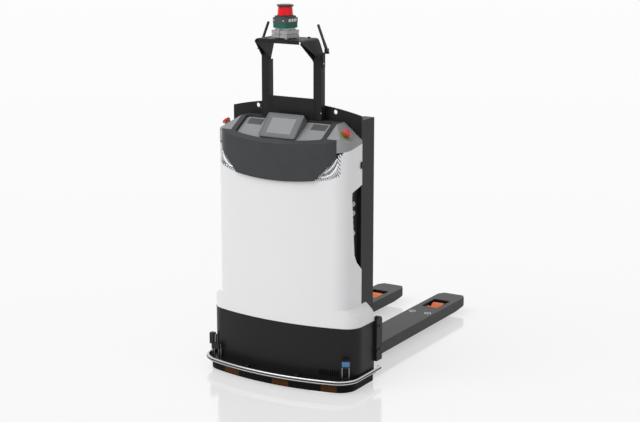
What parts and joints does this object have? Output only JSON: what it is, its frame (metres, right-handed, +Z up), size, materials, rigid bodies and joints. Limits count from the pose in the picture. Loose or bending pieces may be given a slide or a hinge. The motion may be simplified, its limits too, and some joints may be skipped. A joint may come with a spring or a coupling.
{
  "type": "autonomous mobile robot",
  "caption": "Self-driving pallet truck with lifting forks, a moulded body with touch screen and lamps, emergency stops, a laser scanner on a gantry, a steered drive and a sprung bumper.",
  "frame": {"origin": "on the floor, under the middle of the machine's overall length and width", "axes": "+Z up, +Y along the forks from the body to their tips, +X to the right-hand side of a viewer who stands in front of the body and looks along +Y"},
  "size_m": [0.876, 1.6959, 1.85],
  "materials": {
    "antenna_left": "satin",
    "antenna_right": "satin",
    "back_plate": "satin powder coat",
    "battery": "painted",
    "body_shell": "satin white",
    "bogie_left": "machined",
    "bogie_right": "machined",
    "bumper_deck": "satin powder coat",
    "bumper_rail": "polished",
    "caster_fork_left": "machined",
    "caster_fork_right": "machined",
    "caster_wheel_left": "polyurethane",
    "caster_wheel_right": "polyurethane",
    "chassis_frame": "satin powder coat",
    "corner_sensors": "satin",
    "drive_controller": "painted",
    "drive_motor": "painted",
    "drive_wheel_hub": "machined",
    "drive_wheel_tyre": "polyurethane",
    "drive_yoke": "machined",
    "estop_bases": "satin",
    "estop_button_left": "satin",
    "estop_button_right": "satin",
    "fork_carriage": "satin powder coat",
    "fork_left": "satin paint",
    "fork_right": "satin paint",
    "gantry_frame": "satin powder coat",
    "guide_shoes": "low-friction plastic",
    "hydraulic_unit": "satin",
    "key_barrel": "polished",
    "lamp_housings": "polished",
    "lamp_lenses": "polished",
    "lift_rod": "ground",
    "load_arm_left": "satin paint",
    "load_arm_right": "satin paint",
    "load_roller_front_left": "cast polyurethane",
    "load_roller_front_right": "cast polyurethane",
    "load_roller_rear_left": "cast polyurethane",
    "load_roller_rear_right": "cast polyurethane",
    "lower_button": "satin",
    "lower_ring": "satin",
    "pillars": "satin powder coat",
    "ring_marks": "retroreflective film",
    "scanner_base": "satin",
    "scanner_head": "satin",
    "scanner_mount": "anodised",
    "scanner_rotor": "satin",
    "scanner_window": "polished",
    "screen_glass": "polished",
    "screen_housing": "satin",
    "sensor_stands": "satin",
    "sensor_window": "polished",
    "shoulders": "fine texture",
    "side_panels": "fine texture",
    "skirt_cover": "fine satin",
    "steer_motor": "painted",
    "steer_pinion": "ground",
    "top_console": "fine texture",
    "tray_deck": "fine texture",
    "upper_button": "satin"
  },
  "bodies": {
    "chassis": {"back_plate": "back_plate", "battery": "battery", "body_shell": "body_shell", "bumper_deck": "bumper_deck", "chassis_frame": "chassis_frame", "corner_sensors": "corner_sensors", "drive_controller": "drive_controller", "estop_bases": "estop_bases", "gantry_frame": "gantry_frame", "hydraulic_unit": "hydraulic_unit", "lamp_housings": "lamp_housings", "lamp_lenses": "lamp_lenses", "lower_ring": "lower_ring", "pillars": "pillars", "ring_marks": "ring_marks", "scanner_base": "scanner_base", "scanner_head": "scanner_head", "scanner_mount": "scanner_mount", "scanner_window": "scanner_window", "screen_glass": "screen_glass", "screen_housing": "screen_housing", "sensor_stands": "sensor_stands", "sensor_window": "sensor_window", "shoulders": "shoulders", "side_panels": "side_panels", "skirt_cover": "skirt_cover", "steer_motor": "steer_motor", "top_console": "top_console", "tray_deck": "tray_deck"},
    "forks": {"fork_left": "fork_left", "fork_right": "fork_right", "fork_carriage": "fork_carriage", "guide_shoes": "guide_shoes", "lift_rod": "lift_rod"},
    "load_arm_right": {"load_arm_right": "load_arm_right"},
    "load_arm_left": {"load_arm_left": "load_arm_left"},
    "bogie_right": {"bogie_right": "bogie_right"},
    "bogie_left": {"bogie_left": "bogie_left"},
    "front_roller_right": {"load_roller_front_right": "load_roller_front_right"},
    "rear_roller_right": {"load_roller_rear_right": "load_roller_rear_right"},
    "front_roller_left": {"load_roller_front_left": "load_roller_front_left"},
    "rear_roller_left": {"load_roller_rear_left": "load_roller_rear_left"},
    "drive_unit": {"drive_yoke": "drive_yoke", "drive_motor": "drive_motor"},
    "drive_wheel": {"drive_wheel_hub": "drive_wheel_hub", "drive_wheel_tyre": "drive_wheel_tyre"},
    "steer_pinion": {"steer_pinion": "steer_pinion"},
    "caster_right": {"caster_fork_right": "caster_fork_right"},
    "caster_left": {"caster_fork_left": "caster_fork_left"},
    "caster_wheel_right": {"caster_wheel_right": "caster_wheel_right"},
    "caster_wheel_left": {"caster_wheel_left": "caster_wheel_left"},
    "bumper": {"bumper_rail": "bumper_rail"},
    "estop_right": {"estop_button_right": "estop_button_right"},
    "estop_left": {"estop_button_left": "estop_button_left"},
    "antenna_right": {"antenna_right": "antenna_right"},
    "antenna_left": {"antenna_left": "antenna_left"},
    "scanner_rotor": {"scanner_rotor": "scanner_rotor"},
    "key_barrel": {"key_barrel": "key_barrel"},
    "upper_button": {"upper_button": "upper_button"},
    "lower_button": {"lower_button": "lower_button"}
  },
  "joints": [
    {"name": "fork_lift", "type": "slide", "parent": "chassis", "child": "forks", "axis": [0, 0, 1], "range_m": [0, 0.1]},
    {"name": "load_arm_right_swing", "type": "hinge", "parent": "forks", "child": "load_arm_right", "pos_m": [0.198, 0.318, 0.06], "axis": [1, 0, 0], "range_deg": [-21.12, 0]},
    {"name": "bogie_right_level", "type": "hinge", "parent": "load_arm_right", "child": "bogie_right", "pos_m": [0.198, 0.603, 0.04], "axis": [1, 0, 0], "range_deg": [0, 21.12]},
    {"name": "front_roller_right_spin", "type": "hinge", "parent": "bogie_right", "child": "front_roller_right", "pos_m": [0.198, 0.561, 0.04], "axis": [1, 0, 0], "continuous": true},
    {"name": "rear_roller_right_spin", "type": "hinge", "parent": "bogie_right", "child": "rear_roller_right", "pos_m": [0.198, 0.645, 0.04], "axis": [1, 0, 0], "continuous": true},
    {"name": "load_arm_left_swing", "type": "hinge", "parent": "forks", "child": "load_arm_left", "pos_m": [-0.198, 0.318, 0.06], "axis": [1, 0, 0], "range_deg": [-21.12, 0]},
    {"name": "bogie_left_level", "type": "hinge", "parent": "load_arm_left", "child": "bogie_left", "pos_m": [-0.198, 0.603, 0.04], "axis": [1, 0, 0], "range_deg": [0, 21.12]},
    {"name": "front_roller_left_spin", "type": "hinge", "parent": "bogie_left", "child": "front_roller_left", "pos_m": [-0.198, 0.561, 0.04], "axis": [1, 0, 0], "continuous": true},
    {"name": "rear_roller_left_spin", "type": "hinge", "parent": "bogie_left", "child": "rear_roller_left", "pos_m": [-0.198, 0.645, 0.04], "axis": [1, 0, 0], "continuous": true},
    {"name": "steer", "type": "hinge", "parent": "chassis", "child": "drive_unit", "pos_m": [0, -0.648, 0.24], "axis": [0, 0, 1], "range_deg": [-90, 90]},
    {"name": "drive_wheel_spin", "type": "hinge", "parent": "drive_unit", "child": "drive_wheel", "pos_m": [0, -0.648, 0.098], "axis": [1, 0, 0], "continuous": true},
    {"name": "steer_pinion_spin", "type": "hinge", "parent": "chassis", "child": "steer_pinion", "pos_m": [0.088, -0.648, 0.256], "axis": [0, 0, 1], "range_deg": [-360.1, 360.1]},
    {"name": "caster_right_swivel", "type": "hinge", "parent": "chassis", "child": "caster_right", "pos_m": [0.285, -0.62, 0.14], "axis": [0, 0, 1], "continuous": true},
    {"name": "caster_wheel_right_spin", "type": "hinge", "parent": "caster_right", "child": "caster_wheel_right", "pos_m": [0.285, -0.586, 0.062], "axis": [1, 0, 0], "continuous": true},
    {"name": "caster_left_swivel", "type": "hinge", "parent": "chassis", "child": "caster_left", "pos_m": [-0.285, -0.62, 0.14], "axis": [0, 0, 1], "continuous": true},
    {"name": "caster_wheel_left_spin", "type": "hinge", "parent": "caster_left", "child": "caster_wheel_left", "pos_m": [-0.285, -0.586, 0.062], "axis": [1, 0, 0], "continuous": true},
    {"name": "bumper_press", "type": "slide", "parent": "chassis", "child": "bumper", "axis": [0, 1, 0], "range_m": [0, 0.008], "stiffness_N_per_m": 4000, "springref_m": -0.001},
    {"name": "estop_right_press", "type": "slide", "parent": "chassis", "child": "estop_right", "axis": [-0.6247, 0, -0.7809], "range_m": [0, 0.004], "stiffness_N_per_m": 1500},
    {"name": "estop_left_press", "type": "slide", "parent": "chassis", "child": "estop_left", "axis": [0.6247, 0, -0.7809], "range_m": [0, 0.004], "stiffness_N_per_m": 1500},
    {"name": "antenna_right_tilt", "type": "hinge", "parent": "chassis", "child": "antenna_right", "pos_m": [0.188, -0.581, 1.638], "axis": [0, 1, 0], "range_deg": [-8, 60]},
    {"name": "antenna_left_tilt", "type": "hinge", "parent": "chassis", "child": "antenna_left", "pos_m": [-0.188, -0.581, 1.638], "axis": [0, 1, 0], "range_deg": [-60, 8]},
    {"name": "scanner_spin", "type": "hinge", "parent": "chassis", "child": "scanner_rotor", "pos_m": [0, -0.651, 1.82], "axis": [0, 0, 1], "continuous": true},
    {"name": "key_turn", "type": "hinge", "parent": "chassis", "child": "key_barrel", "pos_m": [0.346, -0.594, 0.764], "axis": [1, 0, 0], "range_deg": [0, 90]},
    {"name": "upper_button_press", "type": "slide", "parent": "chassis", "child": "upper_button", "axis": [-1, 0, 0], "range_m": [0, 0.003], "stiffness_N_per_m": 500},
    {"name": "lower_button_press", "type": "slide", "parent": "chassis", "child": "lower_button", "axis": [-1, 0, 0], "range_m": [0, 0.003], "stiffness_N_per_m": 500}
  ],
  "couplings": [
    {"joint": "load_arm_right_swing", "follows": "fork_lift", "rad_per_m": -3.6341},
    {"joint": "bogie_right_level", "follows": "fork_lift", "rad_per_m": 3.6341},
    {"joint": "load_arm_left_swing", "follows": "fork_lift", "rad_per_m": -3.6341},
    {"joint": "bogie_left_level", "follows": "fork_lift", "rad_per_m": 3.6341},
    {"joint": "steer_pinion_spin", "follows": "steer", "ratio": -4}
  ]
}
